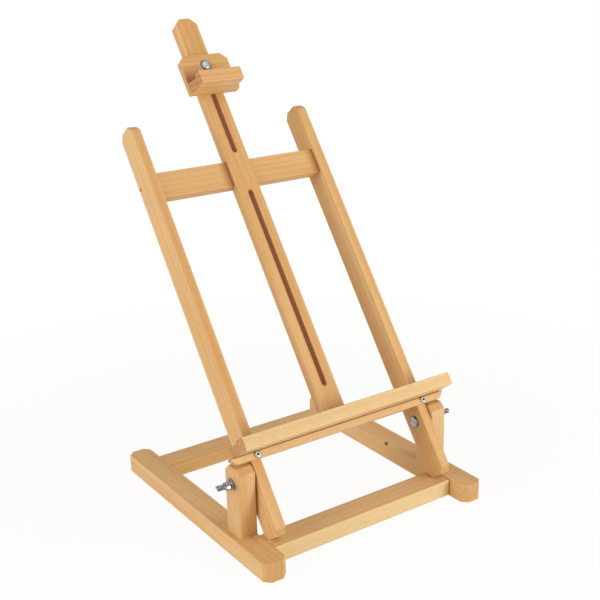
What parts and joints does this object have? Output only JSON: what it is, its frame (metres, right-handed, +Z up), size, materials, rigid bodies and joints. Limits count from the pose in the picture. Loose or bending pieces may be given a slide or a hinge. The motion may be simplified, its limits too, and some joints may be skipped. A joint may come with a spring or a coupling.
{
  "type": "tabletop artist easel",
  "caption": "Wooden tabletop easel: square base, tilting frame on two pivot bolts, canvas tray, slotted mast and a sliding, turning canvas clamp.",
  "frame": {"origin": "on the floor under the middle of the easel's overall box", "axes": "+Z up, +X to the right seen from the front, front towards -Y"},
  "size_m": [0.3582, 0.438, 0.5943],
  "materials": {
    "beech": "satin clear-sealed beech",
    "dowel_wood": "bare beech dowel",
    "zinc_steel": "bright zinc plate"
  },
  "bodies": {
    "base": {"left_runner": "beech", "right_runner": "beech", "front_rail": "beech", "rear_rail": "beech", "left_post": "beech", "right_post": "beech", "base_dowels": "dowel_wood", "post_screws": "zinc_steel", "inner_washers": "zinc_steel", "outer_washers": "zinc_steel"},
    "frame": {"left_stile": "beech", "right_stile": "beech", "upper_rail": "beech", "lower_rail": "beech", "frame_dowels": "dowel_wood", "mast": "beech", "mast_screws": "zinc_steel", "tray_ledge": "beech", "tray_lip": "beech", "tray_apron": "beech", "lip_dowels": "dowel_wood", "ledge_screws": "zinc_steel", "tray_screws": "zinc_steel", "left_pivot_bolt": "zinc_steel", "right_pivot_bolt": "zinc_steel"},
    "clamp_slider": {"clamp_washer": "zinc_steel"},
    "clamp": {"clamp_plate": "beech", "clamp_ledge": "beech", "clamp_lip": "beech", "clamp_screws": "zinc_steel", "clamp_pins": "zinc_steel", "clamp_bolt": "zinc_steel"},
    "clamp_nut": {"clamp_wing_nut": "zinc_steel"},
    "left_nut": {"left_wing_nut": "zinc_steel"},
    "right_nut": {"right_wing_nut": "zinc_steel"}
  },
  "joints": [
    {"name": "frame_tilt", "type": "hinge", "parent": "base", "child": "frame", "pos_m": [0, -0.13703, 0.091], "axis": [1, 0, 0], "range_deg": [-54, 0]},
    {"name": "clamp_slide", "type": "slide", "parent": "frame", "child": "clamp_slider", "axis": [0, 0.5878, 0.809], "range_m": [-0.117, 0.009]},
    {"name": "clamp_swivel", "type": "hinge", "parent": "clamp_slider", "child": "clamp", "pos_m": [0, 0.1542, 0.537], "axis": [0, 0.809, -0.5878], "continuous": true},
    {"name": "clamp_nut_spin", "type": "hinge", "parent": "clamp", "child": "clamp_nut", "pos_m": [0, 0.1542, 0.537], "axis": [0, 0.809, -0.5878], "continuous": true},
    {"name": "left_nut_spin", "type": "hinge", "parent": "frame", "child": "left_nut", "pos_m": [0, -0.13703, 0.091], "axis": [1, 0, 0], "continuous": true},
    {"name": "right_nut_spin", "type": "hinge", "parent": "frame", "child": "right_nut", "pos_m": [0, -0.13703, 0.091], "axis": [1, 0, 0], "continuous": true}
  ]
}
